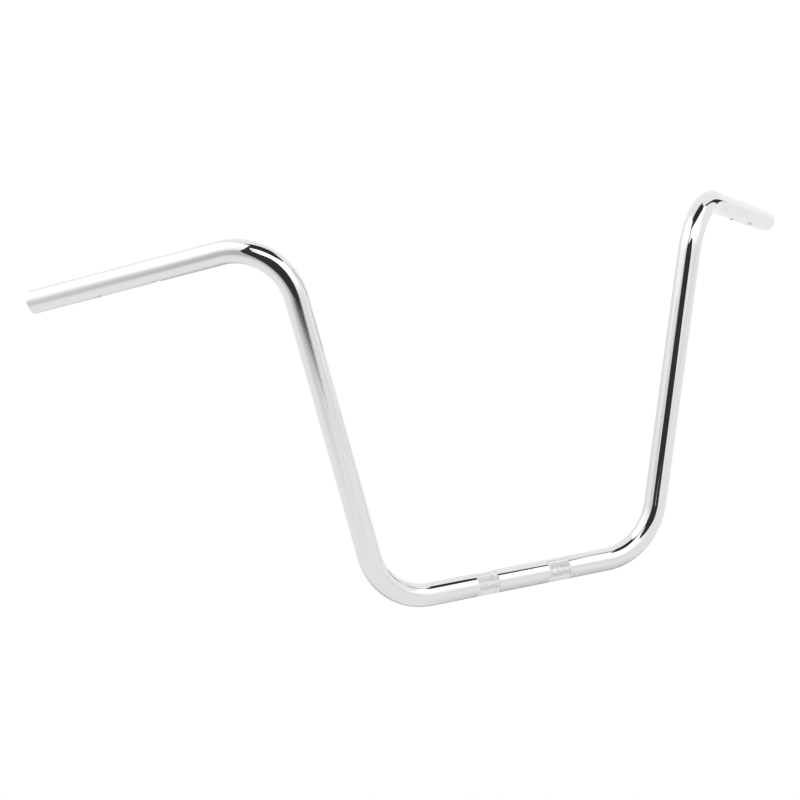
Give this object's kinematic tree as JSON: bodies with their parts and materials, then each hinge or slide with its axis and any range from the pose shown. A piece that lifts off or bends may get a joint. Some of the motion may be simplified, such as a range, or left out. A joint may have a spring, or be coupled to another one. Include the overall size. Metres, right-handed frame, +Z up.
{
  "type": "ape hanger handlebar",
  "caption": "Tall motorcycle handlebar bent from one chromed tube, with knurled clamp bands, outward-leaning uprights and grips that sweep back and down.",
  "frame": {"origin": "middle of the clamped centre section, on the tube's axis", "axes": "+X along the centre section, +Z up along the plane of the uprights, +Y back towards the rider, the way the grips sweep"},
  "size_m": [0.9546, 0.1985, 0.4139],
  "materials": {
    "chrome": "bright polished chrome plate, matte where knurled"
  },
  "bodies": {
    "root": {"handlebar": "chrome"}
  },
  "joints": []
}
